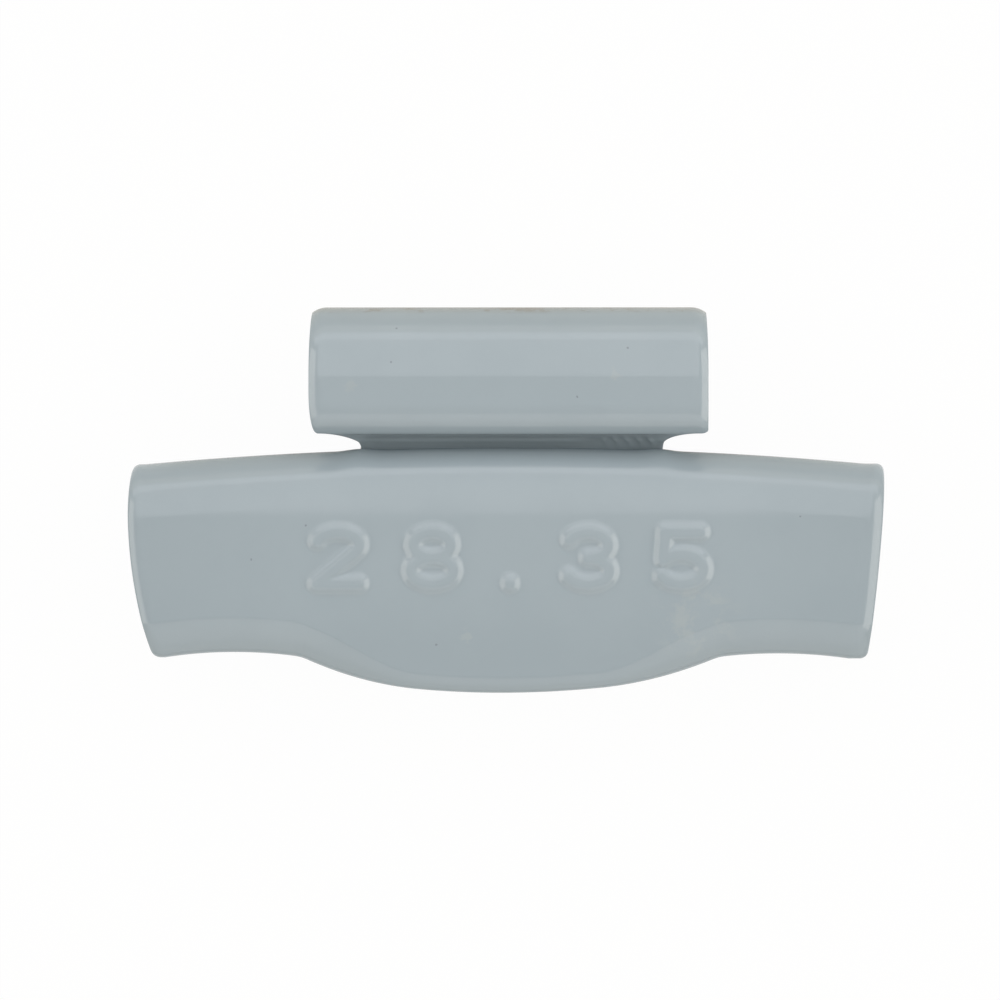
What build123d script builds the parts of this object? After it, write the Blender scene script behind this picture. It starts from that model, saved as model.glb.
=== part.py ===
"""A clip-on wheel balance weight: a pressed steel body and a spring-steel clip in a slot in its rim edge.

The part lies on its flat back. X runs along the rim, Y points away from the wheel's centre, towards the
clip, and Z points out of the front face. Sizes are in millimetres and degrees.
"""
import os
from math import cos, radians, sin, sqrt

from build123d import *

# Weight body, seen from the front
body_length = 42.0
body_thickness = 6.67
rim_edge_radius = 227.0
wing_height = 11.6
wing_hollow = 0.25
end_taper = 1.35
end_bow = 0.33
belly_width = 23.0
belly_drop = 1.98
belly_middle_width = 10.0
belly_middle_radius = 52.7
belly_kink_round = 2.0

# Rounding of the body's edges
rim_edge_round = 3.0
foot_edge_round = 1.3
end_edge_round = 0.7
back_edge_round = 0.35

# Spring clip, with its radii on the side of the strip that faces out of the hook
clip_width = 22.1
clip_thickness = 1.2
strip_edge_round = 0.35
hook_height = 7.76
hook_top_radius = 3.55
hook_back_radius = 2.85
hook_bottom_radius = 1.7
hook_lean = 84.0
hook_corner_round = 0.4
tip_corner_round = 1.5
flange_gap = 2.3
neck_slope = 21.0
notch_depth = 2.7
notch_land = 0.1

# Tongue of the clip and the slot that holds it
tongue_length = 6.5
tongue_corner_round = 1.0
slot_from_back = 2.0
slot_clearance = 0.02
slot_end_gap = 0.2
slot_lip_radius = 0.4

# Smallest difference that tells two lengths apart
length_tolerance = 1e-6

# Heights: the box that holds the part is centred on the X axis
total_height = hook_height + wing_height + belly_drop
rim_edge_y = total_height / 2 - hook_height
hook_top_y = rim_edge_y + hook_height
wing_foot_y = rim_edge_y - wing_height
belly_foot_y = wing_foot_y - belly_drop

# Corners of the body's outline
half_length = body_length / 2
foot_half_length = half_length - end_taper
corner_y = rim_edge_y - rim_edge_radius + sqrt(rim_edge_radius**2 - half_length**2)
belly_half_width = belly_width / 2
middle_half_width = belly_middle_width / 2
middle_y = belly_foot_y + belly_middle_radius - sqrt(belly_middle_radius**2 - middle_half_width**2)

# Neck, tongue and slot
neck_width = clip_width - 2 * notch_depth
notch_radius = notch_depth - hook_corner_round - notch_land
neck_length = notch_radius + notch_land
neck_bend = 90.0 - neck_slope
tongue_front_z = slot_from_back + slot_clearance + clip_thickness
slot_thickness = clip_thickness + 2 * slot_clearance
slot_depth = tongue_length + slot_end_gap

# Straight run at the hook's tip, down to the gap that takes the flange
lean = radians(hook_lean)
tip_start_y = hook_top_y - hook_back_radius * (1 - cos(lean))
tip_end_y = rim_edge_y + flange_gap + clip_thickness * cos(lean)
tip_length = (tip_start_y - tip_end_y) / sin(lean)

os.makedirs("parts", exist_ok=True)

# Weight body: a bar that follows the rim, with a belly at the middle of its foot
with BuildPart() as weight_body:
    with BuildSketch():
        with BuildLine():
            ThreePointArc((-half_length, corner_y), (0, rim_edge_y), (half_length, corner_y))
            SagittaArc((half_length, corner_y), (foot_half_length, wing_foot_y), end_bow)
            SagittaArc((foot_half_length, wing_foot_y), (belly_half_width, wing_foot_y), -wing_hollow)
            belly_ends = ((middle_half_width, middle_y), (-middle_half_width, middle_y))
            belly = ThreePointArc(belly_ends[0], (0, belly_foot_y), belly_ends[1])
            TangentArc(belly @ 0, (belly_half_width, wing_foot_y), tangent=-(belly % 0))
            TangentArc(belly @ 1, (-belly_half_width, wing_foot_y), tangent=belly % 1)
            SagittaArc((-belly_half_width, wing_foot_y), (-foot_half_length, wing_foot_y), -wing_hollow)
            SagittaArc((-foot_half_length, wing_foot_y), (-half_length, corner_y), end_bow)
        outline = make_face()
        kinks = outline.vertices().sort_by(lambda vertex: abs(abs(vertex.X) - belly_half_width))[:2]
        fillet(kinks, belly_kink_round)
    extrude(amount=body_thickness)

    # The edges are rounded from the largest radius to the smallest
    front_edges = faces().sort_by(Axis.Z)[-1].edges()
    fillet(front_edges.sort_by(Axis.Y)[-1], rim_edge_round)
    front_edges = faces().sort_by(Axis.Z)[-1].edges()
    long_edges = front_edges.filter_by_position(Axis.X, -foot_half_length, foot_half_length)
    fillet(long_edges.sort_by(Axis.Y)[:-1], foot_edge_round)
    for end_index in (0, -1):
        end_face = faces().sort_by(Axis.X)[end_index]
        fillet(end_face.edges().sort_by(Axis.Z)[1:], end_edge_round)
    fillet(faces().sort_by(Axis.Z)[0].edges(), back_edge_round)

    # The slot opens in the rim edge, and the clip bends over its rounded front lip
    with BuildSketch(Plane.XY.offset(slot_from_back)):
        with Locations((0, rim_edge_y - slot_depth)):
            slot_width = neck_width + 2 * slot_clearance
            Rectangle(slot_width, slot_depth + slot_lip_radius, align=(Align.CENTER, Align.MIN))
    extrude(amount=slot_thickness, mode=Mode.SUBTRACT)
    slot_front_edges = edges(Select.LAST).group_by(Axis.Z)[-1]
    fillet(slot_front_edges.sort_by(Axis.Y)[-1], slot_lip_radius - slot_clearance)
weight_body.part.label = "weight_body"
export_step(weight_body.part, "parts/weight_body.step")

# Spring clip: one strip, drawn across the rim along its outer side, from the tongue to the hook's tip
with BuildPart() as rim_clip:
    # Tongue and the bend over the slot's lip
    with BuildSketch(Plane.YZ):
        with BuildLine():
            tongue_top_y = rim_edge_y - slot_lip_radius
            tongue = Line((rim_edge_y - tongue_length, tongue_front_z), (tongue_top_y, tongue_front_z))
            lip_bend = JernArc(tongue @ 1, tongue % 1, slot_lip_radius, neck_bend)
            offset(amount=clip_thickness, side=Side.RIGHT)
        make_face()
    extrude(amount=neck_width / 2, both=True)
    tongue_end = faces().sort_by(Axis.Y)[0]
    fillet(tongue_end.edges().filter_by(Axis.Z), tongue_corner_round)

    # Hook, which turns up at the front and curls over to the tip
    neck_end = lip_bend @ 1 + (lip_bend % 1) * neck_length
    with BuildSketch(Plane.YZ):
        with BuildLine():
            bottom_bend = JernArc(neck_end, lip_bend % 1, hook_bottom_radius, -neck_bend)
            hook_front_z = (bottom_bend @ 1).Y
            front = Line(bottom_bend @ 1, (hook_top_y - hook_top_radius, hook_front_z))
            top_bend = JernArc(front @ 1, front % 1, hook_top_radius, -90.0)
            back_bend = JernArc(top_bend @ 1, top_bend % 1, hook_back_radius, -hook_lean)
            Line(back_bend @ 1, back_bend @ 1 + (back_bend % 1) * tip_length)
            offset(amount=clip_thickness, side=Side.RIGHT)
        make_face()
    extrude(amount=clip_width / 2, both=True)

    # Neck between them, which rounded notches narrow from the hook's width to the tongue's
    neck_facing = (0, -cos(radians(neck_slope)), sin(radians(neck_slope)))
    with BuildSketch(Plane(origin=(0, neck_end.X, neck_end.Y), x_dir=(1, 0, 0), z_dir=neck_facing)):
        with BuildLine():
            Line((0, 0), (neck_width / 2 + notch_radius, 0))
            notch = JernArc((neck_width / 2 + notch_radius, 0), (-1, 0), notch_radius, 90)
            Line(notch @ 1, (neck_width / 2, -neck_length))
            Line((neck_width / 2, -neck_length), (0, -neck_length))
            mirror(about=Plane.YZ)
        make_face()
    extrude(amount=-clip_thickness)

    # Corners of the hook, then the rim of the strip's outer side, which blanking rounds over
    corners = edges().filter_by(lambda edge: abs(edge.length - clip_thickness) < length_tolerance)
    side_corners = corners.group_by(Axis.X)[0] + corners.group_by(Axis.X)[-1]
    fillet(side_corners.group_by(Axis.Z)[0], tip_corner_round)
    fillet(side_corners.group_by(Axis.Z)[-1], hook_corner_round)
    hook_front_edges = faces().sort_by(Axis.X)[-1].edges().filter_by(Axis.Y)
    fillet(hook_front_edges.sort_by(Axis.Z)[-1], strip_edge_round)
rim_clip.part.label = "rim_clip"
export_step(rim_clip.part, "parts/rim_clip.step")
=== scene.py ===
"""Clip-on wheel balance weight: its coated steel body with a raised mass, its coated spring clip and a plain studio.

The frame is in metres: X runs along the rim, Y points towards the clip and Z out of the front face.
"""
from math import atan, cos, pi, radians, sin, sqrt, tan

import bpy
import numpy as np
from bpy.props import FloatProperty, FloatVectorProperty, PointerProperty, StringProperty
from bpy.types import Operator, Panel, PropertyGroup
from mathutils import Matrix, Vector


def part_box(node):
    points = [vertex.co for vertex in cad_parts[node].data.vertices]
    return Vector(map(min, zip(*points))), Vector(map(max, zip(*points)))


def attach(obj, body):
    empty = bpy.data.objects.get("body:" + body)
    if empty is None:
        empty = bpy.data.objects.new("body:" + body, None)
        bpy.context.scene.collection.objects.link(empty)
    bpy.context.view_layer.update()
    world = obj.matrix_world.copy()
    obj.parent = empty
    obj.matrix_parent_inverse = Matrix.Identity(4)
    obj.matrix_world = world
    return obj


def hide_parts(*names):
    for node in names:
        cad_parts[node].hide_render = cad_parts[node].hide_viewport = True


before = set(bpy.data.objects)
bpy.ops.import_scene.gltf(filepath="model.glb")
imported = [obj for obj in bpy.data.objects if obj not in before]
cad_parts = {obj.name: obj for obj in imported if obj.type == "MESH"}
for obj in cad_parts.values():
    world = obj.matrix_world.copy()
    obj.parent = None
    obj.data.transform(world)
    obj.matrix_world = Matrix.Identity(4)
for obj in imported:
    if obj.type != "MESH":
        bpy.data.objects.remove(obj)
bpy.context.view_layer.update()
BODY_LOW, BODY_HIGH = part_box("weight_body")
CLIP_LOW, CLIP_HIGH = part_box("rim_clip")
MILLIMETRES_PER_METRE = 1000.0
SHARP_ANGLE = radians(50.0)

bl_info = {
    "name": "Wheel balance weight",
    "version": (1, 0, 0),
    "blender": (4, 5, 0),
    "location": "View3D > Sidebar > Balance weight",
    "description": "Builds a coated clip-on balance weight and a plain studio around its CAD frame",
    "category": "Object",
}


def length(name, description, default):
    """A length in metres."""
    return FloatProperty(name=name, description=description, default=default,
                         unit="LENGTH", subtype="DISTANCE", precision=5)


def pair(name, description, first, second):
    """Two lengths in metres that belong together, such as one for the left and one for the right."""
    return FloatVectorProperty(name=name, description=description, default=(first, second), size=2,
                               unit="LENGTH", precision=5)


def angle(name, description, degrees):
    """An angle, given in degrees."""
    return FloatProperty(name=name, description=description, default=radians(degrees),
                         unit="ROTATION", subtype="ANGLE")


def share(name, description, default):
    """A number from 0 to 1."""
    return FloatProperty(name=name, description=description, default=default,
                         subtype="FACTOR", min=0.0, max=1.0)


def level(name, description, default):
    """A radiance, where 1 is that of a white sheet in the studio."""
    return FloatProperty(name=name, description=description, default=default, min=0.0)


def color(name, description, default):
    """A linear colour."""
    return FloatVectorProperty(name=name, description=description, default=default,
                               subtype="COLOR", size=3, min=0.0, max=1.0)


class BodySizes(PropertyGroup):
    """Sizes of the weight's body that the frame's box doesn't give."""
    half_length: length("Half length", "From the middle to a corner of the rim edge", 0.021)
    rim_radius: length("Rim radius", "Radius of the rim edge, seen from the front", 0.227)
    rim_swell: length("Rim swell", "How far the rim edge swells under the clip", 0.00009)
    neck_swell: pair("Neck swell", "Height and width of the coat's fillet beside the neck", 0.00015, 0.001)
    swell_ends: pair("Swell ends", "From the middle to where the swell is whole and where it ends", 0.006, 0.0104)
    wing_height: length("Wing height", "From the rim edge's top to the foot corners", 0.0116)
    wing_hollow: length("Wing hollow", "Depth of the hollow in each wing's foot", 0.00033)
    end_shift: pair("End shift", "How far the ends reach past the half length", -0.00006, -0.00016)
    end_start: length("End start", "From the middle to where a column starts to follow the end", 0.0118)
    end_taper: pair("End taper", "How far the ends draw in towards the foot", 0.00121, 0.00098)
    end_bow: pair("End bow", "How far the ends bow outwards", 0.00056, 0.00014)
    foot_corner_drop: pair("Foot corner drop", "How far the foot's corners lie below the kinks", 0.00016, 0.00032)
    belly_skew: share("Belly skew", "How much wider the belly is on the right, as a share", 0.01)
    belly_tilt: angle("Belly tilt", "How far the belly's middle turns down at the left", 0.5)
    belly_half_width: length("Belly half width", "From the middle to the kink in the foot", 0.0115)
    belly_middle: length("Belly middle", "From the middle to the end of the belly's flatter arc", 0.005)
    belly_radius: length("Belly radius", "Radius of the belly's flatter arc", 0.0527)
    kink_round: length("Kink round", "Rounding of the kink in the foot", 0.0007)
    roll_ends: pair("Roll ends", "Heights where the front starts to roll back and has done so", -0.00108, 0.0007)
    roll_drop: length("Roll drop", "How far the front rolls back", 0.00008)
    rim_round: length("Rim round", "Rounding between the front and the rim edge", 0.003)
    crease_round: length("Crease round", "Radius of the crease above the foot's bevel", 0.0005)
    crease_turn: angle("Crease turn", "Tilt of the bevel at the crease", 16.0)
    bevel_turn: angle("Bevel turn", "Tilt of the bevel at the foot's edge", 38.0)
    bevel: pair("Bevel", "Radius of the bevel's arc at the belly's foot and at a wing's", 0.0018, 0.0047)
    foot_round: pair("Foot round", "Rounding of the belly's foot edge and of a wing's", 0.0005, 0.0007)
    bevel_ends: pair("Bevel ends", "From the middle to where the bevel starts to grow and is a wing's", 0.005, 0.0105)
    end_round: pair("End round", "Radius of the arcs from the front to the ends' edges", 0.001, 0.0016)
    end_tilt: angle("End tilt", "Tilt of the front's rounding at the ends' edges", 38.0)
    end_edge: length("End edge", "Rounding of the ends' edges", 0.0001)
    end_corner: length("End corner", "Rounding of the outline's corners at the ends", 0.00042)
    back_round: length("Back round", "Rounding of the back's edges", 0.00035)
    slot_half_width: length("Slot half width", "Half the width of the clip's slot", 0.00837)
    slot_sides: pair("Slot sides", "Heights of the slot's low and high side over the back", 0.002, 0.00324)
    slot_depth: length("Slot depth", "Depth of the slot under the rim edge", 0.0067)
    slot_lip: length("Slot lip", "Rounding of the slot's front lip", 0.00038)


class NumberSizes(PropertyGroup):
    """The raised mass on the front."""
    text: StringProperty(name="Number", description="Raised mass in grams, of the digits 2, 3, 5 and 8 and points",
                         default="28.35")
    centre: pair("Centre", "Middle of the number along and across the rim", 0.0001, -0.0032)
    size: pair("Size", "Width and height of a digit over its strokes", 0.0032, 0.0037)
    pitch: pair("Pitch", "Room that a digit takes, and that a point takes", 0.0052, 0.0034)
    stroke: length("Stroke", "Width of a stroke", 0.00085)
    soft_edge: length("Soft edge", "Width of a stroke's sloping edge", 0.00045)
    relief: length("Relief", "How far the number stands out", 0.00024)


class ClipSizes(PropertyGroup):
    """Sizes of the bent strip, along the side of it that faces out of the hook."""
    thickness: length("Thickness", "Thickness of the strip", 0.0012)
    tongue_length: length("Tongue", "Straight part of the tongue in the slot", 0.0061)
    tongue_height: length("Tongue height", "Height of the tongue's front side over the back", 0.00322)
    lip_radius: length("Lip bend", "Radius of the bend over the slot's lip", 0.0004)
    neck_length: length("Neck", "Straight length of the neck", 0.0023)
    neck_slope: angle("Neck slope", "Slope of the neck from the front's normal", 21.0)
    bottom_radius: length("Bottom bend", "Radius of the bend at the hook's foot", 0.0017)
    top_radius: length("Top bend", "Radius of the bend from the front to the top", 0.00355)
    back_radius: length("Back bend", "Radius of the bend from the top to the tip", 0.00285)
    lean: angle("Lean", "Turn of the back bend", 84.0)
    flange_gap: length("Flange gap", "From the body's rim edge to the hook's tip", 0.0023)
    neck_half_width: length("Neck half width", "Half the width of the neck and the tongue", 0.00835)
    notch_land: length("Notch land", "Straight side of the neck before the notch", 0.0001)
    notch_radius: length("Notch radius", "Radius of the notch beside the neck", 0.0022)
    left_corner: pair("Left corner", "Depth and length of the hook's lower left corner", 0.0005, 0.0028)
    right_corner: pair("Right corner", "Depth and length of the hook's lower right corner", 0.0004, 0.0004)
    neck_shift: length("Neck shift", "How far the neck lies off the hook's middle", 0.00019)
    draw_in: length("Draw in", "How far the strip's sides draw in over the top bend", 0.00009)
    roll_ends: pair("Roll ends", "Ends of the front's roll back, from the start of the top bend", -0.00034, 0.0006)
    roll_drop: length("Roll drop", "How far the front rolls back", 0.00009)
    tip_corner: length("Tip corner", "Rounding of the tip's corners", 0.0015)
    tongue_corner: length("Tongue corner", "Rounding of the tongue's corners", 0.001)
    hook_rim: pair("Hook rim", "Width of the outer rim's rounding at the hook's sides", 0.0008, 0.00085)
    rim_tilt: angle("Rim tilt", "Tilt of the outer rim's rounding at the strip's edge", 38.0)
    notch_round: length("Notch rim", "Width of the outer rim's rounding along the notch and the tongue", 0.00014)
    inner_round: length("Inner rim round", "Rounding of the strip's inner rim", 0.0001)
    coat_depth: length("Coat", "Depth of the coat on the strip's outer side", 0.00007)
    neck_hollow: length("Neck hollow", "Depth of the hollow across the neck", 0.0002)
    hollow_margin: length("Hollow margin", "How far inside the notches the hollow is whole", 0.0012)
    bead_height: length("Bead height", "Height of the beads that the coat forms on the neck", 0.00012)
    fillet_height: length("Fillet height", "Height of the coat's fillet at the neck's foot", 0.0003)
    fillet_ends: pair("Fillet ends", "Where that fillet starts to fall and ends, up the neck", 0.00025, 0.0009)


class CoatFinish(PropertyGroup):
    """The semi-gloss grey coat."""
    base: color("Base", "Colour of the coat", (0.333, 0.389, 0.417))
    # The next colour is both the darker of the random tones and the painted shade towards the foot.
    deep_and_shade: color("Deep", "Colour of the coat where it is thick", (0.309, 0.363, 0.390))
    # The next colour is that of the small specks, and also of the painted shade in the neck's recess.
    speck_and_shade: color("Speck", "Colour of the small dark specks", (0.16, 0.18, 0.19))
    smudge: color("Smudge", "Colour of the dull pale smudges", (0.385, 0.42, 0.42))
    rust: color("Rust", "Colour of the rust that shows at the hook's top", (0.20, 0.16, 0.11))
    roughness: share("Roughness", "Roughness of the coat", 0.13)


class StageSettings(PropertyGroup):
    """Floor, lights and camera."""
    camera_distance: length("Camera distance", "From the camera to the front of the part", 0.35)
    camera_yaw: angle("Camera yaw", "How far round to the right the camera stands", 0.9)
    picture_width: length("Picture width", "Width that the picture covers at the part's front", 0.0552)
    aim: pair("Aim", "Point along and across the rim that the camera looks at", -0.00046, 0.0)
    panel_distance: length("Panel distance", "From the part to the light panels", 0.45)
    floor_width: length("Floor width", "Width of the square floor", 8.0)
    floor_color: color("Floor", "Colour of the floor", (0.82, 0.80, 0.74))
    floor_mirror: share("Floor mirror", "Share of plain white in the floor for reflections", 0.95)
    floor_white: share("Floor white", "Share of plain white in the floor for the camera", 0.97)
    ambient: level("Ambient", "Light from all round", 0.11)
    top_level: level("Top panel", "Overhead panel on the clip's side", 0.8)
    strip_level: level("Top strip", "Strip under the top panel", 1.427)
    back_level: level("Back wall", "Low wall beyond the clip", 0.575)
    back_tint: color("Back tint", "Colour of the wall beyond the clip", (1.0, 0.93, 0.78))
    foot_level: level("Foot panel", "Panel on the foot's side", 0.774)
    front_level: level("Front wall", "Low wall beyond the foot", 0.515)
    left_level: level("Left panel", "Panel beyond the left end", 1.75)
    right_level: level("Right panel", "Panel beyond the right end", 2.1)
    top_tint: color("Top tint", "Colour of the top panel and the top strip", (0.95, 0.96, 1.0))
    side_tint: color("Side tint", "Colour of the end panels and the front wall", (1.0, 0.97, 0.92))


def smoothstep(low, high, values):
    """0 below low, 1 above high, and 3t² - 2t³ between them."""
    t = np.clip((values - low) / (high - low), 0.0, 1.0)
    return t * t * (3.0 - 2.0 * t)


def quarter_turn(count):
    """Angles from 0 to a quarter turn, both ends included."""
    return np.linspace(0.0, pi / 2, count)


def between(start, end, count):
    """The steps strictly between two rows or numbers, evenly spaced."""
    return [start + (end - start) * t for t in np.linspace(0.0, 1.0, count + 2)[1:-1]]


def by_side(side, values):
    """The first of two values where side is -1, the second where it is 1, and a blend between."""
    left, right = values
    return (left + right) / 2 + side * (right - left) / 2


def arc_chain(arcs, turn):
    """Run and drop that a chain of arcs has made at a turn, each arc being a radius and its first and last
    turn: the run grows by r sin(turn) along an arc, and the drop by -r cos(turn)."""
    run = drop = 0.0
    for radius, first, last in arcs:
        end = min(max(turn, first), last)
        run = run + radius * (sin(end) - sin(first))
        drop = drop + radius * (cos(first) - cos(end))
    return run, drop


def arc_turns(arcs, count):
    """Turns along a chain of arcs, with the same count on each arc."""
    return np.unique([np.linspace(first, last, count) for _, first, last in arcs])


def quads(index):
    """The faces of a grid of point numbers, one quad for each cell."""
    cells = np.stack((index[:-1, :-1], index[1:, :-1], index[1:, 1:], index[:-1, 1:]), axis=-1)
    return cells.reshape(-1, 4).tolist()


def coated_piece(name, points, faces, stands_for):
    """A smooth mesh object in the grey coat, which moves with the part and stands for a CAD node."""
    mesh = bpy.data.meshes.new(name)
    mesh.from_pydata(points.reshape(-1, 3), [], faces)
    if mesh.validate():
        raise RuntimeError(f"{name} has faces that aren't sound")
    mesh.shade_smooth()
    mesh.set_sharp_from_angle(angle=SHARP_ANGLE)
    mesh.materials.append(grey_coat(bpy.context.scene.weight_coat))
    piece = bpy.data.objects.new(name, mesh)
    bpy.context.scene.collection.objects.link(piece)
    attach(piece, "root")
    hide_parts(stands_for)


# Raised number

ARC_POINTS = 24


def line_distance(x, y, line):
    """Distance from points to a line of straight pieces, as the least of those to its pieces."""
    starts, runs = line[:-1], np.diff(line, axis=0)
    off_x, off_y = x[..., None] - starts[:, 0], y[..., None] - starts[:, 1]
    t = np.clip((off_x * runs[:, 0] + off_y * runs[:, 1]) / (runs ** 2).sum(axis=1), 0.0, 1.0)
    return np.hypot(off_x - t * runs[:, 0], off_y - t * runs[:, 1]).min(axis=-1)


def arc_points(centre, radii, first, last):
    """Points along an arc of an ellipse, between two angles in degrees."""
    turn = np.radians(np.linspace(first, last, ARC_POINTS))
    return np.stack((centre[0] + radii[0] * np.cos(turn), centre[1] + radii[1] * np.sin(turn)), axis=-1)


def digit_lines(digit, w, h):
    """Centre lines of a digit's strokes, w and h being half their width and height, in shares of both."""
    if digit == "2":
        bowl = 0.48 * h
        return [np.concatenate((arc_points((0.0, h - bowl), (w, bowl), 165.0, -35.0), [(-w, -h), (w, -h)]))]
    if digit == "3":
        return [arc_points((0.0, 0.5 * h), (0.95 * w, 0.5 * h), 155.0, -90.0),
                arc_points((0.0, -0.5 * h), (w, 0.5 * h), 90.0, -155.0)]
    if digit == "5":
        bowl = 0.58 * h
        return [np.array([(0.85 * w, h), (-0.8 * w, h), (-0.88 * w, 0.0)]),
                arc_points((-0.05 * w, bowl - h), (1.05 * w, bowl), 142.0, -150.0)]
    if digit == "8":
        return [arc_points((0.0, 0.52 * h), (0.88 * w, 0.48 * h), 0.0, 360.0),
                arc_points((0.0, -0.48 * h), (w, 0.52 * h), 0.0, 360.0)]
    if digit == ".":
        return [np.array([(0.0, -h), (0.0, -0.98 * h)])]
    raise ValueError(f"there are no strokes for {digit!r}")


def number_relief(x, y, number):
    """Height of the raised number: its relief where the nearest stroke is under half a stroke's width
    away, falling smoothly to nothing over the soft edge."""
    digit_pitch, point_pitch = number.pitch
    room = np.array([point_pitch if digit == "." else digit_pitch for digit in number.text])
    places = np.cumsum(room) - room / 2 - room.sum() / 2
    half_width, half_height = ((size - number.stroke) / 2 for size in number.size)
    centre_x, centre_y = number.centre
    distance = np.full(x.shape, np.inf)
    for digit, place in zip(number.text, places):
        for line in digit_lines(digit, half_width, half_height):
            distance = np.minimum(distance, line_distance(x - centre_x - place, y - centre_y, line))
    low, high = (number.stroke - number.soft_edge) / 2, (number.stroke + number.soft_edge) / 2
    return number.relief * (1.0 - smoothstep(low, high, distance))


# Weight body

MIDDLE_COLUMNS, WING_COLUMNS = 150, 62
SLOT_WALL_WIDTH, END_MARGIN = 0.00001, 0.00003
LIP_ROWS, RIM_ROWS, FRONT_ROWS, BEVEL_ROWS, FOOT_ROWS = 5, 28, 94, 9, 6
BACK_EDGE_ROWS, BACK_ROWS, BELOW_SLOT_ROWS = 6, 14, 4
END_ARC_RINGS, END_FACE_RINGS = 7, (0.85, 0.6, 0.35, 0.1)
# Where the swell rises, and the fillets beside the neck rise and fall, as shares of the rim rounding's height
SWELL_RISE, NECK_SWELL_RISE, NECK_SWELL_FALL = (0.0, 0.5), (0.0, 0.25), (0.45, 0.9)
# Least outward share in z on the flat front, and the longest reach on an arc, as a share of its radius
FLAT_FRONT, ARC_REACH = 0.999, 0.98


def rim_line(x, sizes):
    """Height of the rim edge over x: an arc of a circle."""
    return BODY_HIGH.y - sizes.rim_radius + np.sqrt(sizes.rim_radius ** 2 - x ** 2)


def foot_line(x, sizes):
    """Height of the foot over x: two hollow wings, and a belly of three arcs between them.

    A wing's foot is a parabola. The belly's middle is an arc of a circle, and an arc on each side leaves
    its end along the tangent and reaches the kink. The lower line holds, and where the two cross, the
    corner is rounded as a hyperbola."""
    across = np.where(x < 0.0, -x, x / (1.0 + sizes.belly_skew))
    wing_foot = BODY_HIGH.y - sizes.wing_height
    foot_half_length = sizes.half_length - by_side(np.sign(x), sizes.end_taper)
    t = np.clip((across - sizes.belly_half_width) / (foot_half_length - sizes.belly_half_width), 0.0, 1.0)
    drop = by_side(np.sign(x), sizes.foot_corner_drop)
    wing = wing_foot - drop * t + 4.0 * sizes.wing_hollow * t * (1.0 - t)

    inner = np.minimum(across, sizes.belly_middle)
    middle = BODY_LOW.y + sizes.belly_radius - np.sqrt(sizes.belly_radius ** 2 - inner ** 2)
    slope = sizes.belly_middle / sizes.belly_radius
    level_share = sqrt(1.0 - slope ** 2)
    join_y = BODY_LOW.y + sizes.belly_radius * (1.0 - level_share)
    run, rise = sizes.belly_half_width - sizes.belly_middle, wing_foot - join_y
    side_radius = (run ** 2 + rise ** 2) / (2.0 * (rise * level_share - run * slope))
    centre_x = sizes.belly_middle - side_radius * slope
    centre_y = join_y + side_radius * level_share
    reach = np.clip(across - centre_x, 0.0, ARC_REACH * side_radius)
    side = centre_y - np.sqrt(side_radius ** 2 - reach ** 2)
    belly = np.where(across < sizes.belly_middle, middle, side)
    belly = belly + tan(sizes.belly_tilt) * x * np.clip(1.0 - (x / sizes.belly_half_width) ** 2, 0.0, 1.0)

    kink_reach = sizes.belly_half_width - centre_x
    kink_slope = kink_reach / sqrt(side_radius ** 2 - kink_reach ** 2)
    corner = sizes.kink_round * kink_slope ** 2 / 2.0
    return (wing + belly - np.sqrt((wing - belly) ** 2 + corner ** 2)) / 2.0


def end_reach(y, side, sizes):
    """From the middle to the left end (side -1) or the right one (side 1) at height y: a straight taper
    between the corners, bowed by a parabola."""
    corner_y = rim_line(sizes.half_length, sizes)
    t = np.clip((corner_y - y) / (corner_y - BODY_HIGH.y + sizes.wing_height), 0.0, 1.0)
    shift, taper, bow = (by_side(side, values) for values in (sizes.end_shift, sizes.end_taper, sizes.end_bow))
    return sizes.half_length + shift - taper * t + 4.0 * bow * t * (1.0 - t)


def end_arcs(side, sizes):
    """The arcs from the front to the end face at the left (side -1) or the right (side 1)."""
    return ((by_side(side, sizes.end_round), 0.0, sizes.end_tilt), (sizes.end_edge, sizes.end_tilt, pi / 2))


def body_columns(sizes):
    """Places of the columns along the rim: close together where the number and the belly are, with two
    columns at each end wall of the slot, and up to just before the end faces' rounding starts."""
    fine_end = sizes.belly_half_width
    fine = np.linspace(0.0, fine_end, MIDDLE_COLUMNS)
    walls = sizes.slot_half_width + np.array([0.0, SLOT_WALL_WIDTH])
    halves = []
    for side in (-1.0, 1.0):
        end_run, _ = arc_chain(end_arcs(side, sizes), pi / 2)
        end_gap = max(end_run, sizes.end_corner, sizes.back_round) + END_MARGIN
        coarse = np.linspace(fine_end, sizes.half_length - end_gap, WING_COLUMNS)[1:]
        halves.append(np.sort(np.concatenate((fine, coarse, walls))))
    return np.concatenate((-halves[0][:0:-1], halves[1]))


def along_rim(columns, y, sizes):
    """Where the columns lie along the rim at height y: at their own places in the middle, and drawn in
    with the end's reach towards the ends."""
    side = np.sign(columns)
    last = by_side(side, (-columns[0], columns[-1]))
    follow = smoothstep(sizes.end_start, last, np.abs(columns))
    return columns + side * follow * (end_reach(y, side, sizes) - sizes.half_length)


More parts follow.
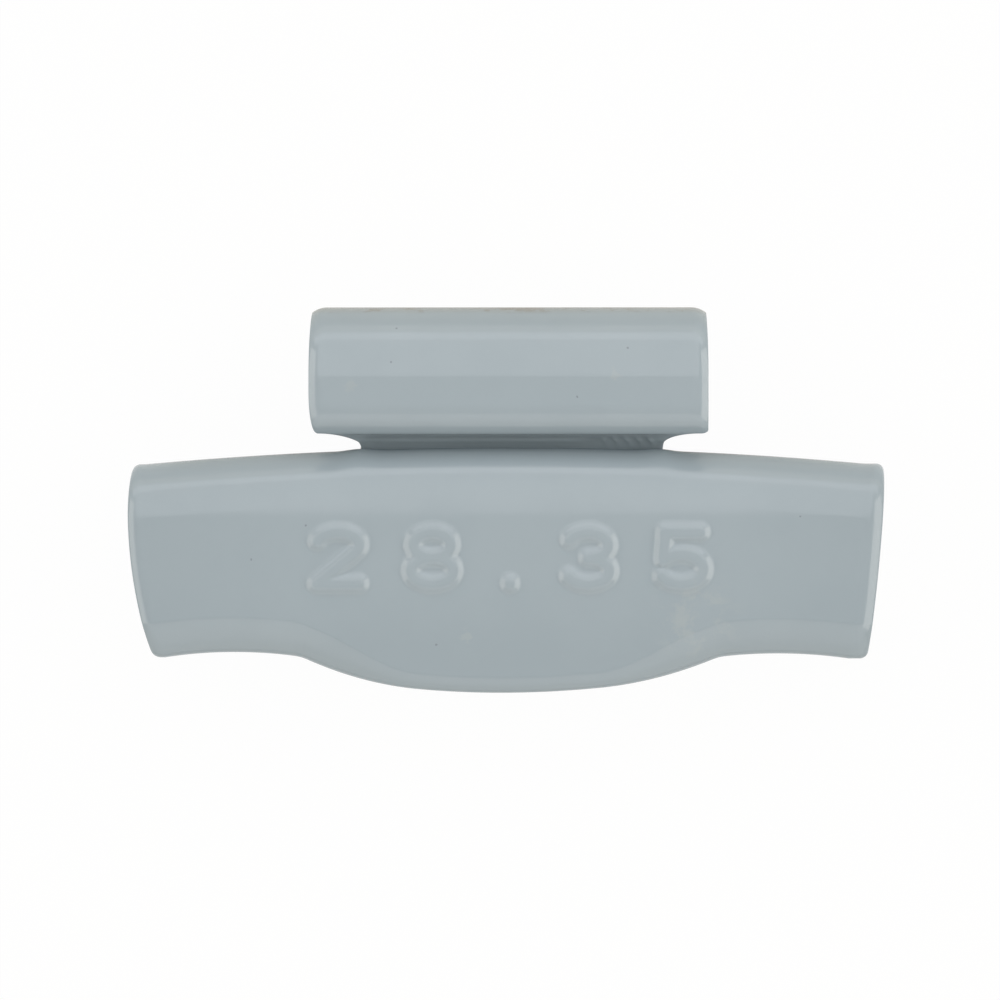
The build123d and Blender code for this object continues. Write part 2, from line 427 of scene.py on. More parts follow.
def body_section(columns, sizes):
    """Rows round the cross-section at every column: y, z, the outward direction in y and z, and whether
    the end faces' rounding holds for the row (1) or the back's (0).

    The section is a rounded rectangle from the foot to the rim edge. It starts in the slot, which is cut
    into the rim edge over the middle columns, and goes round by the front, the foot and the back."""
    across = np.abs(columns)
    rim = rim_line(across, sizes)
    swell = sizes.rim_swell * (1.0 - smoothstep(*sizes.swell_ends, across))
    height, width = sizes.neck_swell
    neck_swell = height * np.exp(-((across - sizes.slot_half_width) / width) ** 2)
    foot = foot_line(along_rim(columns, BODY_HIGH.y - sizes.wing_height, sizes), sizes)
    wing_share = smoothstep(*sizes.bevel_ends, across)
    bevel, foot_round = (belly + (wing - belly) * wing_share for belly, wing in (sizes.bevel, sizes.foot_round))

    arcs = ((sizes.crease_round, 0.0, sizes.crease_turn), (bevel, sizes.crease_turn, sizes.bevel_turn),
            (foot_round, sizes.bevel_turn, pi / 2))
    foot_run, foot_drop = arc_chain(arcs, pi / 2)
    front = BODY_HIGH.z
    back_round, rim_round = sizes.back_round, sizes.rim_round

    # Slot: its rows dip into it over the middle columns, and lie on the rim edge beyond its end walls
    in_slot = across <= sizes.slot_half_width
    bottom, lip, (low, high) = sizes.slot_depth, sizes.slot_lip, sizes.slot_sides
    slot_path = [(0.0, low), (bottom, low), (bottom, high)]
    slot_path += [(lip * (1 - sin(a)), high + lip * (1 - cos(a))) for a in quarter_turn(LIP_ROWS)]
    rim_heights = np.linspace(low, high + lip, len(slot_path))
    rows = [(np.where(in_slot, rim - depth, rim), np.where(in_slot, z, rim_z), 1.0, 0.0, 1.0)
            for (depth, z), rim_z in zip(slot_path, rim_heights)]

    # Rounding of the rim edge, the front face, the rounding of the foot and the foot
    for a in quarter_turn(RIM_ROWS):
        fillet_share = smoothstep(*NECK_SWELL_RISE, sin(a)) * (1.0 - smoothstep(*NECK_SWELL_FALL, sin(a)))
        lifted = rim + swell * smoothstep(*SWELL_RISE, sin(a)) + neck_swell * fillet_share
        rows.append((lifted - rim_round * (1 - cos(a)), front - rim_round * (1 - sin(a)), cos(a), sin(a), 1.0))
    for y in between(rim + swell - rim_round, foot + foot_run, FRONT_ROWS):
        rows.append((y, front, 0.0, 1.0, 1.0))
    for a in arc_turns(arcs, BEVEL_ROWS):
        run, drop = arc_chain(arcs, a)
        rows.append((foot + foot_run - run, front - drop, -sin(a), cos(a), 1.0))
    for z in between(front - foot_drop, back_round, FOOT_ROWS):
        rows.append((foot, z, -1.0, 0.0, 1.0))

    # Back, between its two small roundings, and the rim edge up to the slot
    for a in quarter_turn(BACK_EDGE_ROWS):
        rows.append((foot + back_round * (1 - cos(a)), back_round * (1 - sin(a)), -cos(a), -sin(a), 0.0))
    for y in between(foot + back_round, rim - back_round, BACK_ROWS):
        rows.append((y, 0.0, 0.0, -1.0, 0.0))
    for a in quarter_turn(BACK_EDGE_ROWS):
        rows.append((rim - back_round * (1 - sin(a)), back_round * (1 - cos(a)), sin(a), -cos(a), 0.0))
    for z in between(back_round, low, BELOW_SLOT_ROWS):
        rows.append((rim, z, 1.0, 0.0, 1.0))
    return [np.stack([np.broadcast_to(value, columns.shape) for value in part]) for part in zip(*rows)]


def end_rings(side, section, sizes):
    """Rings that close one end: the section turns inwards along its own normals, by the end's arcs on the
    front and in quarter circles at the rim edge, the foot and the back, and then shrinks towards its middle
    on the end face."""
    y, z, out_y, out_z, off_back = section
    arcs = end_arcs(side, sizes)
    end_run, _ = arc_chain(arcs, pi / 2)
    corner = sizes.back_round + off_back * (sizes.end_corner - sizes.back_round)
    on_front = off_back * np.clip(out_z, 0.0, 1.0)
    rings = []
    for a in arc_turns(arcs, END_ARC_RINGS):
        run, drop = arc_chain(arcs, a)
        gap = corner * (1 - sin(a))
        gap = gap + on_front * (end_run - run - gap)
        corner_drop = corner * (1 - cos(a))
        ring_y = y - out_y * corner_drop
        ring_z = z - out_z * (corner_drop + off_back * (drop - corner_drop))
        ring_x = side * (end_reach(ring_y, side, sizes) - gap)
        rings.append(np.stack((ring_x, ring_y, ring_z), axis=-1))
    face = rings[-1]
    middle = face.mean(axis=0)
    for shrink in END_FACE_RINGS:
        ring = middle + (face - middle) * shrink
        ring[:, 0] = side * end_reach(ring[:, 1], side, sizes)
        rings.append(ring)
    return np.stack(rings, axis=1)


def body_points(sizes, number):
    """Points of the body: the cross-section carried along the rim, with the number raised from the front
    and the front rolled back a little towards the rim."""
    columns = body_columns(sizes)
    section = body_section(columns, sizes)
    y, z, out_z = section[0], section[1], section[3]
    x = along_rim(columns, y, sizes)
    on_front = out_z > FLAT_FRONT
    z[on_front] += number_relief(x[on_front], y[on_front], number)
    z = z - sizes.roll_drop * smoothstep(*sizes.roll_ends, y) * np.clip(out_z, 0.0, 1.0)
    section[1] = z
    left, right = ([part[:, side] for part in section] for side in (0, -1))
    middle = np.stack((x, y, z), axis=-1)
    return np.concatenate((end_rings(-1.0, left, sizes)[:, ::-1], middle, end_rings(1.0, right, sizes)), axis=1)


def closed_tube(points):
    """Faces of a tube whose rows go round it: a quad for each cell, and one face at each end."""
    index = np.arange(points.shape[0] * points.shape[1]).reshape(points.shape[:2])
    faces = quads(np.concatenate((index, index[:1])))
    return faces + [index[::-1, 0].tolist(), index[:, -1].tolist()]


class WEIGHT_OT_body(Operator):
    """Build the coated body of the weight, with its raised mass"""
    bl_idname = "weight.body"
    bl_label = "Weight body"
    bl_options = {"REGISTER", "UNDO"}

    def execute(self, context):
        points = body_points(context.scene.weight_body, context.scene.weight_number)
        coated_piece("coated_body", points, closed_tube(points), "weight_body")
        return {"FINISHED"}


# Spring clip

RUN_ROWS = (12, 12, 12, 20, 34, 44, 26, 14)
TONGUE_ROWS, NOTCH_ROWS, CORNER_ROWS, TIP_ROWS = 12, 52, 30, 16
HALF_COLUMNS = 80
# Distances from the hook's side to its columns along the rim, in millimetres
RIM_COLUMNS = (0.0, 0.012, 0.04, 0.08, 0.13, 0.19, 0.26, 0.34, 0.43, 0.53, 0.64, 0.76, 0.9)
# How fast the rows bend towards the outline near the sides, and how far up the neck its hollow leans
ROW_BEND, HOLLOW_LEAN = 6, 1.5
# The ridge and the beads that the coat left on the neck: place along it and slant as shares, the rest in metres
RIDGE_PLACE, RIDGE_WIDTH, RIDGE_SHARE = 0.38, 0.00022, 0.65
RIDGE_LEFT, RIDGE_RIGHT = (-0.0078, -0.0070), (0.0040, 0.0045)
BEAD_PLACE, BEAD_WIDTH, BEAD_PITCH, BEAD_SLANT = 0.42, 0.0004, 0.00066, 0.4
BEADS_LEFT, BEADS_RIGHT = (0.0050, 0.0054), (0.0080, 0.0083)


def clip_runs(sizes):
    """Lengths and curvatures of the strip's runs along its outer side, from the tongue to the hook's tip."""
    bend = pi / 2 - sizes.neck_slope
    front_start = (CLIP_LOW.y + sizes.tongue_length + (sizes.lip_radius + sizes.bottom_radius) * sin(bend)
                   + sizes.neck_length * cos(bend))
    tip_start = CLIP_HIGH.y - sizes.back_radius * (1 - cos(sizes.lean))
    tip_end = BODY_HIGH.y + sizes.flange_gap + sizes.thickness * cos(sizes.lean)
    runs = [
        (sizes.tongue_length, 0.0),
        (sizes.lip_radius * bend, 1 / sizes.lip_radius),
        (sizes.neck_length, 0.0),
        (sizes.bottom_radius * bend, -1 / sizes.bottom_radius),
        (CLIP_HIGH.y - sizes.top_radius - front_start, 0.0),
        (sizes.top_radius * pi / 2, -1 / sizes.top_radius),
        (sizes.back_radius * sizes.lean, -1 / sizes.back_radius),
        ((tip_start - tip_end) / sin(sizes.lean), 0.0),
    ]
    return np.array(runs).T


def clip_path(s, sizes):
    """Place and heading at length s along the strip's outer side: y, z and the angle from +Y to +Z.

    A run of curvature k turns by k times its length, and its chord is the length times sin(t)/t, at half
    the turn, t being that half turn."""
    lengths, curves = clip_runs(sizes)
    starts = np.concatenate(([0.0], np.cumsum(lengths)[:-1]))
    headings = np.concatenate(([0.0], np.cumsum(lengths * curves)[:-1]))
    half_turns = lengths * curves / 2
    chords = lengths * np.sinc(half_turns / pi)
    start_y = CLIP_LOW.y + np.concatenate(([0.0], np.cumsum(chords * np.cos(headings + half_turns))[:-1]))
    start_z = sizes.tongue_height + np.concatenate(([0.0], np.cumsum(chords * np.sin(headings + half_turns))[:-1]))

    run = np.clip(np.searchsorted(starts, s, side="right") - 1, 0, len(starts) - 1)
    along = s - starts[run]
    half_turn = along * curves[run] / 2
    chord = along * np.sinc(half_turn / pi)
    y = start_y[run] + chord * np.cos(headings[run] + half_turn)
    z = start_z[run] + chord * np.sin(headings[run] + half_turn)
    return y, z, headings[run] + 2 * half_turn


def corner_inset(along, depth, length):
    """How far a corner of that depth and length lies inside the strip's side: a quarter of an ellipse."""
    t = np.clip(1.0 - along / length, 0.0, 1.0)
    return depth * (1.0 - np.sqrt(1.0 - t ** 2))


def strip_outline(sizes):
    """The flat strip's outline, as the lengths of its rows and the half widths on its left and its right,
    and the lengths of the same rows on the strip's middle line. Rows spread evenly in the middle where the
    outline runs across the strip."""
    lengths = clip_runs(sizes)[0]
    ends = np.cumsum(lengths)
    total = ends[-1]
    notch_start = ends[1] + sizes.notch_land
    hook_start = notch_start + sizes.notch_radius
    corner_length = sizes.left_corner[1]
    corner_end = hook_start + corner_length
    hook_half = CLIP_HIGH.x
    steps = [end - run + run * np.arange(count) / count for end, run, count in zip(ends, lengths, RUN_ROWS)]
    steps = np.concatenate(steps)

    def rows_inside(low, high):
        return steps[(steps > low) & (steps < high)]

    a = quarter_turn(TONGUE_ROWS)
    tongue = (sizes.tongue_corner * (1 - np.cos(a)), sizes.neck_half_width - sizes.tongue_corner * (1 - np.sin(a)))
    neck_s = rows_inside(sizes.tongue_corner, notch_start)
    a = quarter_turn(NOTCH_ROWS)
    notch = (notch_start + sizes.notch_radius * np.sin(a),
             sizes.neck_half_width + sizes.notch_radius * (1 - np.cos(a)))
    corner_s = corner_length * (1 - np.cos(quarter_turn(CORNER_ROWS)))
    hook_s = rows_inside(corner_end, total - sizes.tip_corner)
    a = quarter_turn(TIP_ROWS)
    tip = (total - sizes.tip_corner * (1 - np.sin(a)), hook_half - sizes.tip_corner * (1 - np.cos(a)))
    edge_s = np.concatenate((tongue[0], neck_s, notch[0], hook_start + corner_s, hook_s, tip[0]))
    side_x = []
    for corner in (sizes.left_corner, sizes.right_corner):
        corner_x = hook_half - corner_inset(corner_s, *corner)
        side_x.append(np.concatenate((tongue[1], np.full_like(neck_s, sizes.neck_half_width), notch[1], corner_x,
                                      np.full_like(hook_s, hook_half), tip[1])))
    first = len(tongue[0]) + len(neck_s)
    last = first + len(notch[0]) + len(corner_s)
    middle_s = edge_s.copy()
    middle_s[first:last] = np.linspace(notch_start, corner_end, last - first)
    return edge_s, side_x, middle_s


def rounded_rim(distance, width, tilt=pi / 2):
    """How far a face drops at that distance from its edge, where an arc of that width leaves the face along
    its tangent and has the tilt at the edge: r - sqrt(r² - inset²), with r = width / sin(tilt)."""
    radius = width / sin(tilt)
    inset = np.clip(width - distance, 0.0, width)
    return radius - np.sqrt(radius ** 2 - inset ** 2)


def coat_beads(s, x, sizes):
    """Height of what the coat left on the neck: a fillet at its foot, a low ridge along most of it, and a
    row of slanted beads beside it on the right, each the square of a raised cosine."""
    ends = np.cumsum(clip_runs(sizes)[0])
    ridge_s, bead_s = (ends[1] + place * sizes.neck_length for place in (RIDGE_PLACE, BEAD_PLACE))
    ridge = np.exp(-((s - ridge_s) / RIDGE_WIDTH) ** 2)
    ridge = ridge * smoothstep(*RIDGE_LEFT, x) * (1 - smoothstep(*RIDGE_RIGHT, x))
    wave = 0.5 + 0.5 * np.cos(2 * pi * (x + BEAD_SLANT * (s - bead_s)) / BEAD_PITCH)
    beads = wave ** 2 * np.exp(-((s - bead_s) / BEAD_WIDTH) ** 2)
    beads = beads * smoothstep(*BEADS_LEFT, x) * (1 - smoothstep(*BEADS_RIGHT, x))
    fillet = smoothstep(ends[0], ends[1], s)
    fillet = fillet * (1 - smoothstep(*(ends[1] + place for place in sizes.fillet_ends), s))
    return sizes.fillet_height * fillet + sizes.bead_height * (RIDGE_SHARE * ridge + beads)


def clip_surface(sizes):
    """Points and faces of the clip: the flat strip's two faces as grids of length and width, its rims
    rounded by their distance to the outline, bent along the path and joined by walls round the edge."""
    near_edge = 1.0 - np.array(RIM_COLUMNS) / MILLIMETRES_PER_METRE / CLIP_HIGH.x
    half = np.concatenate((np.linspace(0.0, near_edge[-1], HALF_COLUMNS)[:-1], near_edge[::-1]))
    across = np.concatenate((-half[:0:-1], half))
    edge_s, (left_x, right_x), middle_s = strip_outline(sizes)
    s = middle_s[:, None] + (edge_s - middle_s)[:, None] * across ** ROW_BEND
    x = np.where(across < 0, left_x[:, None], right_x[:, None]) * across
    border_s = np.pad(edge_s, 1, mode="edge")
    left, right = (line_distance(s, np.abs(x), np.stack((border_s, np.pad(edge_x, 1)), axis=-1))
                   for edge_x in (left_x, right_x))
    distance = np.where(across < 0, left, right)
    y, z, heading = clip_path(s, sizes)

    def face_points(depth):
        return np.stack((x, y + depth * np.sin(heading), z - depth * np.cos(heading)), axis=-1)

    lip_start, lip_end, hook_start, _, front_end, top_end = np.cumsum(clip_runs(sizes)[0])[:6]
    neck_share = smoothstep(lip_start, lip_end, s) * (1.0 - smoothstep(lip_end, hook_start, s))
    x = x * (1.0 - sizes.draw_in / CLIP_HIGH.x * smoothstep(front_end, top_end, s)) + sizes.neck_shift * neck_share
    hook_share = smoothstep(hook_start, hook_start + sizes.bottom_radius, s)
    rim_round = by_side(across, sizes.hook_rim)
    outer_round = sizes.notch_round + (rim_round - sizes.notch_round) * hook_share
    t = np.clip((s - lip_end) / sizes.neck_length, 0.0, 1.0) ** HOLLOW_LEAN
    hollow = 4.0 * sizes.neck_hollow * t * (1.0 - t) * smoothstep(0.0, sizes.hollow_margin, distance)
    coat = sizes.coat_depth * smoothstep(lip_end, hook_start, s) - hollow
    roll_start, roll_end = (front_end + place for place in sizes.roll_ends)
    roll = smoothstep(roll_start, roll_end, s) - smoothstep(roll_end, top_end, s)
    drop = rounded_rim(distance, outer_round, sizes.rim_tilt) + sizes.roll_drop * roll
    outer = face_points(drop - coat - coat_beads(s, x, sizes))
    inner = face_points(sizes.thickness - rounded_rim(distance, sizes.inner_round))
    index = np.arange(2 * s.size).reshape((2,) + s.shape)
    front, back = index
    faces = quads(front.T) + quads(back)
    for wall in (index[::-1, :, 0], index[::-1, :, -1].T, index[::-1, 0].T, index[::-1, -1]):
        faces += quads(wall)
    return np.stack((outer, inner)), faces


class WEIGHT_OT_clip(Operator):
    """Build the coated spring clip"""
    bl_idname = "weight.clip"
    bl_label = "Spring clip"
    bl_options = {"REGISTER", "UNDO"}

    def execute(self, context):
        points, faces = clip_surface(context.scene.weight_clip)
        coated_piece("coated_clip", points, faces, "rim_clip")
        return {"FINISHED"}


# Grey coat

# Colour sockets of a Mix node
COLOR_INPUTS, COLOR_OUTPUT = (6, 7), 2
# The coat's patterns, in millimetres of the part: where each starts and is whole, and its share there
CLOUD_SCALE, CLOUD_TONE = 0.22, (0.35, 0.65, 0.0, 0.35)
# The first pair is painted shade that darkens the coat towards the foot; the second only darkens it towards the ends.
FOOT_SHADE, END_TONE = (-4.0, -10.0, 0.0, 0.9), (11.0, 20.0, 0.0, 0.6)
SPECKS = ((-11.2, -1.4), (-14.2, -3.3), (-4.0, -8.0), (-6.2, 9.5),
          (-6.5, 7.6), (6.6, 8.4), (3.8, 5.7), (16.1, -0.9))
SPECK_RADIUS, SPECK_SHARE = 0.08, 0.6
FLECKS = ((-2.3, -7.5), (5.9, 6.9), (-8.7, 6.3))
FLECK_RADIUS, FLECK_SHARE = 0.4, 0.35
SPOT_SCALE, SPOT_CORE, SPOT_HEIGHT = 4.0, 0.4, (5.6, 5.8)
BLOTCH_SCALE, SMUDGE_PLACE, SMUDGE_REACH = 1.1, (10.3, -6.4, 6.7), (3.2, 0.8)
SMUDGE_NOISE, SMUDGE_SHARE = (0.44, 0.66), 0.5
CREST_HEIGHT, CREST_FRONT, CREST_SHARE = (10.3, 10.6), (2.9, 3.3), 0.2
RUST_LEFT, RUST_RIGHT, RUST_MIDDLE = (-2.4, -0.6), (3.2, 1.4), 0.14
RUST_NOISE, RUST_SHARE = (0.5, 0.7), 0.4
# Painted shade in the neck's recess: its top and foot across the rim and its front, in millimetres, and its share.
RECESS_TOP, RECESS_FOOT, RECESS_FRONT, RECESS_SHADE_SHARE = (4.1, 3.8), (3.3, 3.5), (5.9, 5.5), 0.45
PEEL_SCALE, PEEL_STRENGTH, PEEL_DEPTH = 1.1, 0.05, 0.00005
GLOSS_NOISE, GLOSSIER, DULLER, COAT_IOR = (0.3, 0.7), 0.03, 0.05, 1.5


def feed(tree, socket, value):
    """Link another node's output to a socket, or set the socket to a plain value."""
    if isinstance(value, bpy.types.NodeSocket):
        tree.links.new(value, socket)
    else:
        socket.default_value = value


def add_node(tree, kind, settings=(), **sockets):
    """A node with its settings, and with its inputs, whose names have underscores for spaces, set to values
    or linked to other nodes' outputs."""
    node = tree.nodes.new(kind)
    for name, value in dict(settings).items():
        setattr(node, name, value)
    for name, value in sockets.items():
        feed(tree, node.inputs[name.replace("_", " ")], value)
    return node


def map_range(tree, value, low, high, to_low=0.0, to_high=1.0):
    """A value mapped from low..high to another range, held at its ends."""
    node = add_node(tree, "ShaderNodeMapRange", {"interpolation_type": "SMOOTHSTEP"}, Value=value, From_Min=low,
                    From_Max=high, To_Min=to_low, To_Max=to_high)
    return node.outputs["Result"]


def joined(tree, kind, settings, *values):
    """A node with its settings, and with its inputs filled in order."""
    node = add_node(tree, kind, settings)
    for socket, value in zip(node.inputs, values):
        feed(tree, socket, value)
    return node


def arithmetic(tree, operation, *values):
    """Numbers joined by an operation."""
    return joined(tree, "ShaderNodeMath", {"operation": operation}, *values).outputs["Value"]


def product(tree, first, second):
    """Two numbers multiplied."""
    return arithmetic(tree, "MULTIPLY", first, second)


def total(tree, first, second):
    """Two numbers added."""
    return arithmetic(tree, "ADD", first, second)


def distance_to(tree, place, middle):
    """Distance from the place to a fixed point."""
    return joined(tree, "ShaderNodeVectorMath", {"operation": "DISTANCE"}, place, middle).outputs["Value"]


def noise(tree, place, scale, detail, roughness=0.5):
    """Outputs of a cloudy pattern."""
    return add_node(tree, "ShaderNodeTexNoise", Vector=place, Scale=scale, Detail=detail,
                    Roughness=roughness).outputs


def mix_color(tree, factor, first, second):
    """First where the factor is 0, second where it is 1, each a colour from a node or a plain one."""
    node = add_node(tree, "ShaderNodeMix", {"data_type": "RGBA"}, Factor=factor)
    for place, value in zip(COLOR_INPUTS, (first, second)):
        feed(tree, node.inputs[place], value if isinstance(value, bpy.types.NodeSocket) else (*value, 1.0))
    return node.outputs[COLOR_OUTPUT]


def spots(tree, place, middles, radius):
    """1 in ragged soft spots on the front, each with its middle at an x and y, and 0 elsewhere."""
    ragged = noise(tree, place, SPOT_SCALE, detail=2.0)["Color"]
    moved = joined(tree, "ShaderNodeVectorMath", {"operation": "MULTIPLY_ADD"}, ragged, (2.0 * radius,) * 3, place)
    flat = add_node(tree, "ShaderNodeMapping", Vector=moved.outputs["Vector"], Location=(-radius, -radius, 0.0),
                    Scale=(1.0, 1.0, 0.0)).outputs["Vector"]
    factor = 0.0
    for middle in middles:
        near = map_range(tree, distance_to(tree, flat, (*middle, 0.0)), radius, SPOT_CORE * radius)
        factor = arithmetic(tree, "MAXIMUM", factor, near)
    height = add_node(tree, "ShaderNodeSeparateXYZ", Vector=place).outputs["Z"]
    return product(tree, factor, map_range(tree, height, *SPOT_HEIGHT))


def grey_coat(finish):
    """The semi-gloss grey coat over both pieces: two close tones in soft clouds, darker towards the ends, small
    dark specks, dull flecks and smudges, a little rust on the front of the hook's top, a faint orange peel,
    and painted shade that darkens the coat towards the foot and in the recess along the neck."""
    name = "semi_gloss_coat"
    if name in bpy.data.materials:
        return bpy.data.materials[name]
    coat = bpy.data.materials.new(name)
    coat.use_nodes = True
    tree = coat.node_tree
    tree.nodes.clear()
    place = add_node(tree, "ShaderNodeTexCoord").outputs["Object"]
    scale = (MILLIMETRES_PER_METRE,) * 3
    place = add_node(tree, "ShaderNodeMapping", Vector=place, Scale=scale).outputs["Vector"]
    x, y, z = add_node(tree, "ShaderNodeSeparateXYZ", Vector=place).outputs

    clouds = noise(tree, place, CLOUD_SCALE, detail=5.0, roughness=0.6)["Fac"]
    # Painted shade: darker towards the foot, added to the random clouds, and darker towards the ends as well.
    tone_and_shade = total(tree, map_range(tree, clouds, *CLOUD_TONE), map_range(tree, y, *FOOT_SHADE))
    tone_and_shade = total(tree, tone_and_shade, map_range(tree, arithmetic(tree, "ABSOLUTE", x), *END_TONE))
    shade = mix_color(tree, tone_and_shade, finish.base, finish.deep_and_shade)
    specks = product(tree, spots(tree, place, SPECKS, SPECK_RADIUS), SPECK_SHARE)
    shade = mix_color(tree, specks, shade, finish.speck_and_shade)
    flecks = product(tree, spots(tree, place, FLECKS, FLECK_RADIUS), FLECK_SHARE)
    shade = mix_color(tree, flecks, shade, finish.smudge)

    blotches = noise(tree, place, BLOTCH_SCALE, detail=4.0, roughness=0.65)["Fac"]
    smudge = product(tree, map_range(tree, distance_to(tree, place, SMUDGE_PLACE), *SMUDGE_REACH),
                     map_range(tree, blotches, *SMUDGE_NOISE))
    shade = mix_color(tree, product(tree, smudge, SMUDGE_SHARE), shade, finish.smudge)

    crest = product(tree, map_range(tree, y, *CREST_HEIGHT), map_range(tree, z, *CREST_FRONT))
    middle = product(tree, map_range(tree, x, *RUST_LEFT), map_range(tree, x, *RUST_RIGHT))
    worn = map_range(tree, total(tree, blotches, product(tree, middle, RUST_MIDDLE)), *RUST_NOISE)
    worn = product(tree, product(tree, crest, worn), RUST_SHARE)
    rust = total(tree, product(tree, crest, CREST_SHARE), worn)
    shade = mix_color(tree, rust, shade, finish.rust)

    # Painted shade: the neck's recess is darkened towards the specks' colour.
    recess = product(tree, map_range(tree, y, *RECESS_TOP), map_range(tree, y, *RECESS_FOOT))
    recess = product(tree, recess, map_range(tree, z, *RECESS_FRONT))
    shade = mix_color(tree, product(tree, recess, RECESS_SHADE_SHARE), shade, finish.speck_and_shade)

    peel = noise(tree, place, PEEL_SCALE, detail=2.0, roughness=0.4)["Fac"]
    bump = add_node(tree, "ShaderNodeBump", Height=peel, Strength=PEEL_STRENGTH, Distance=PEEL_DEPTH)
    gloss = map_range(tree, clouds, *GLOSS_NOISE, finish.roughness - GLOSSIER, finish.roughness + DULLER)
    shader = add_node(tree, "ShaderNodeBsdfPrincipled", Base_Color=shade, Roughness=gloss,
                      Normal=bump.outputs["Normal"], IOR=COAT_IOR)
    output = add_node(tree, "ShaderNodeOutputMaterial", Surface=shader.outputs["BSDF"])
    output.target = "ALL"
    return coat


# Stage

WHITE = (1.0, 1.0, 1.0, 1.0)
# Where the floor's white for reflections starts and is whole: across the rim, and from the middle along it
MIRROR_HEIGHT, MIRROR_SIDE = (0.004, 0.002), (0.018, 0.023)
CLIP_START, CLIP_END = 0.01, 20.0


def mix_shaders(tree, factor, first, second):
    """The first shader where the factor is 0, the second where it is 1."""
    return joined(tree, "ShaderNodeMixShader", {}, factor, first.outputs[0], second.outputs[0]).outputs["Shader"]


def pale_floor(settings):
    """A pale matt floor, lightened by a share of plain white for the camera, and for reflections everywhere
    but under the clip."""
    floor = bpy.data.materials.new("pale_floor")
    floor.use_nodes = True
    tree = floor.node_tree
    tree.nodes.clear()
    matt = add_node(tree, "ShaderNodeBsdfDiffuse", Color=(*settings.floor_color, 1.0))
    white = add_node(tree, "ShaderNodeEmission", Color=WHITE, Strength=1.0)
    light_path = add_node(tree, "ShaderNodeLightPath")
    place = add_node(tree, "ShaderNodeTexCoord").outputs["Object"]
    x, y, _ = add_node(tree, "ShaderNodeSeparateXYZ", Vector=place).outputs
    mirror_share = arithmetic(tree, "MAXIMUM", map_range(tree, y, *MIRROR_HEIGHT),
                              map_range(tree, arithmetic(tree, "ABSOLUTE", x), *MIRROR_SIDE))
    mirror_share = product(tree, mirror_share, settings.floor_mirror)
    factor = total(tree, product(tree, light_path.outputs["Is Camera Ray"], settings.floor_white),
                   product(tree, light_path.outputs["Is Glossy Ray"], mirror_share))
    add_node(tree, "ShaderNodeOutputMaterial", Surface=mix_shaders(tree, factor, matt, white))
    return floor


def studio_world(settings):
    """Even light from all round, with a white background for the camera, reflections and clear things."""
    world = bpy.data.worlds.new("studio")
    world.use_nodes = True
    tree = world.node_tree
    tree.nodes.clear()
    even = add_node(tree, "ShaderNodeBackground", Color=WHITE, Strength=settings.ambient)
    white = add_node(tree, "ShaderNodeBackground", Color=WHITE, Strength=1.0)
    light_path = add_node(tree, "ShaderNodeLightPath")
    seen = light_path.outputs["Is Camera Ray"]
    for name in ("Is Glossy Ray", "Is Transmission Ray"):
        seen = arithmetic(tree, "MAXIMUM", seen, light_path.outputs[name])
    add_node(tree, "ShaderNodeOutputWorld", Surface=mix_shaders(tree, seen, even, white))
    return world


def add_panel(distance, name, heading, low, high, width, level, tint):
    """A soft rectangular light that faces the part from the heading, in degrees from +X, and reaches from
    low to high, in degrees from the vertical. Its power is its level times its area times four."""
    light = bpy.data.lights.new(name, "AREA")
    light.shape = "RECTANGLE"
    light.color = tint
    light.size = width
    light.size_y = 2 * distance * tan(radians(high - low) / 2)
    light.energy = 4 * light.size * light.size_y * level
    tilt, turn = radians(low + high) / 2, radians(heading)
    panel = bpy.data.objects.new(name, light)
    panel.location = distance * Vector((sin(tilt) * cos(turn), sin(tilt) * sin(turn), cos(tilt)))
    panel.rotation_mode = "QUATERNION"
    panel.rotation_quaternion = (-panel.location).to_track_quat("-Z", "Y")
    panel.visible_camera = False
    bpy.context.scene.collection.objects.link(panel)


def add_lights(settings):
    """A tent of soft panels round the part, open at the camera."""
    plain = (1.0, 1.0, 1.0)
    panels = (  # name, heading, low and high end in degrees, width in metres, level and tint
        ("top_panel", 90, 5, 56, 0.5, settings.top_level, settings.top_tint),
        ("top_strip", 90, 57, 73, 0.8, settings.strip_level, settings.top_tint),
        ("back_wall", 90, 74, 89, 1.0, settings.back_level, settings.back_tint),
        ("foot_panel", 270, 34, 64, 0.8, settings.foot_level, plain),
        ("front_wall", 270, 65, 89, 1.0, settings.front_level, settings.side_tint),
        ("left_panel", 180, 42, 76, 0.6, settings.left_level, settings.side_tint),
        ("right_panel", 0, 42, 76, 0.6, settings.right_level, settings.side_tint),
    )
    for panel in panels:
        add_panel(settings.panel_distance, *panel)


def add_camera(settings):
    """A camera over the part's front, turned a little to the right, that sees the picture's width there."""
    camera = bpy.data.cameras.new("camera")
    half_view = atan(settings.picture_width / 2 / settings.camera_distance)
    camera.lens = camera.sensor_width / 2 / tan(half_view)
    holder = bpy.data.objects.new("camera", camera)
    yaw = settings.camera_yaw
    aim = Vector((*settings.aim, BODY_HIGH.z))
    holder.location = aim + settings.camera_distance * Vector((sin(yaw), 0.0, cos(yaw)))
    holder.rotation_euler = (0.0, yaw, 0.0)
    camera.clip_start, camera.clip_end = CLIP_START, CLIP_END
    bpy.context.scene.collection.objects.link(holder)
    bpy.context.scene.camera = holder


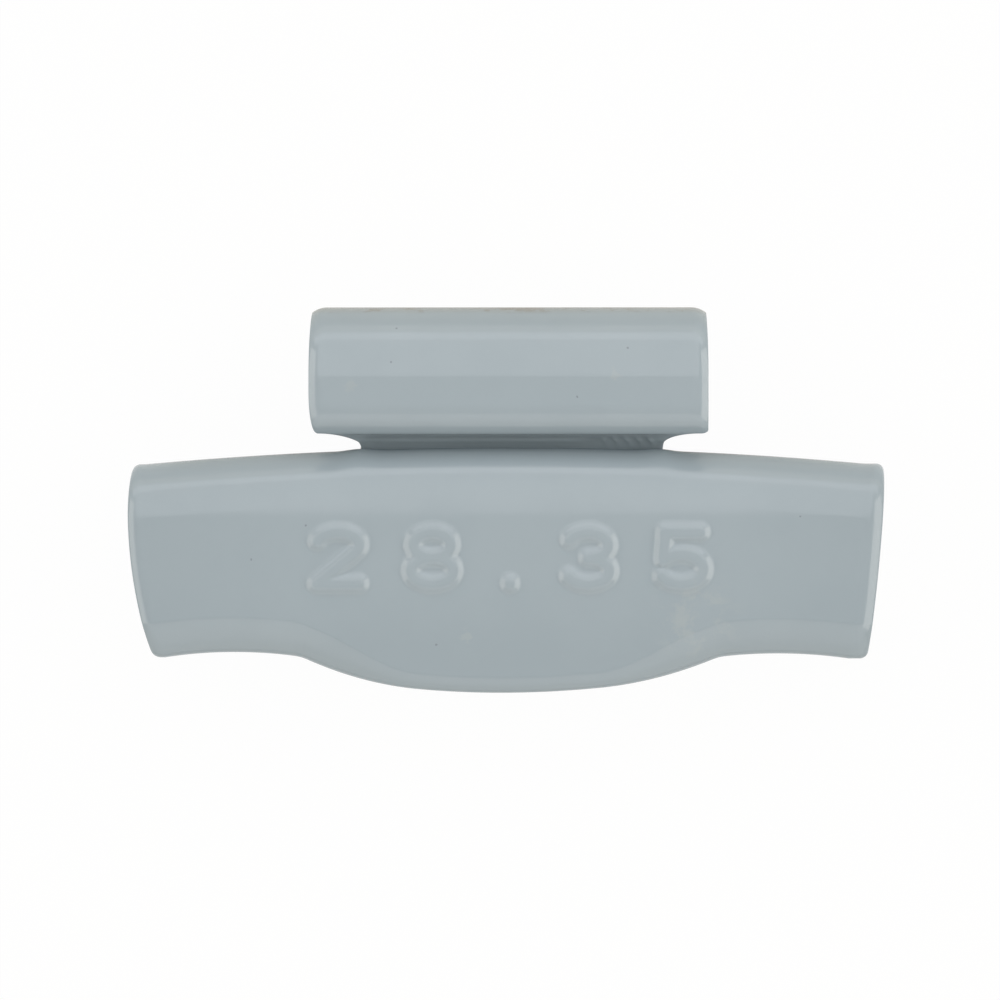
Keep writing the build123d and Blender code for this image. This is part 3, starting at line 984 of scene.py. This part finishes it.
class WEIGHT_OT_stage(Operator):
    """Set up the pale floor, the soft lights and the camera"""
    bl_idname = "weight.stage"
    bl_label = "Stage"
    bl_options = {"REGISTER", "UNDO"}

    def execute(self, context):
        settings = context.scene.weight_stage
        half = settings.floor_width / 2
        mesh = bpy.data.meshes.new("floor")
        mesh.from_pydata([(-half, -half, 0.0), (half, -half, 0.0), (half, half, 0.0), (-half, half, 0.0)], [],
                         [(0, 1, 2, 3)])
        mesh.materials.append(pale_floor(settings))
        floor = bpy.data.objects.new("floor", mesh)
        context.scene.collection.objects.link(floor)
        context.scene.world = studio_world(settings)
        add_lights(settings)
        add_camera(settings)
        context.scene.view_settings.view_transform = "Standard"
        return {"FINISHED"}


class WEIGHT_PT_sidebar(Panel):
    """Lists the pieces, their sizes and the stage"""
    bl_idname = "WEIGHT_PT_sidebar"
    bl_label = "Balance weight"
    bl_space_type = "VIEW_3D"
    bl_region_type = "UI"
    bl_category = "Balance weight"

    def draw(self, context):
        for operator, groups in PANEL_ROWS:
            box = self.layout.box()
            box.operator(operator)
            for group in groups:
                settings = getattr(context.scene, group)
                for name in settings.bl_rna.properties.keys():
                    if name not in ("rna_type", "name"):
                        box.prop(settings, name)


PANEL_ROWS = (
    (WEIGHT_OT_body.bl_idname, ("weight_body", "weight_number", "weight_coat")),
    (WEIGHT_OT_clip.bl_idname, ("weight_clip",)),
    (WEIGHT_OT_stage.bl_idname, ("weight_stage",)),
)
SETTINGS = {
    "weight_body": BodySizes,
    "weight_number": NumberSizes,
    "weight_clip": ClipSizes,
    "weight_coat": CoatFinish,
    "weight_stage": StageSettings,
}
CLASSES = (*SETTINGS.values(), WEIGHT_OT_body, WEIGHT_OT_clip, WEIGHT_OT_stage, WEIGHT_PT_sidebar)


def register():
    for cls in CLASSES:
        bpy.utils.register_class(cls)
    for name, group in SETTINGS.items():
        setattr(bpy.types.Scene, name, PointerProperty(type=group))


def unregister():
    for name in SETTINGS:
        delattr(bpy.types.Scene, name)
    for cls in reversed(CLASSES):
        bpy.utils.unregister_class(cls)


def main():
    register()
    bpy.ops.weight.body()
    bpy.ops.weight.clip()
    bpy.ops.weight.stage()


if __name__ == "__main__":
    main()
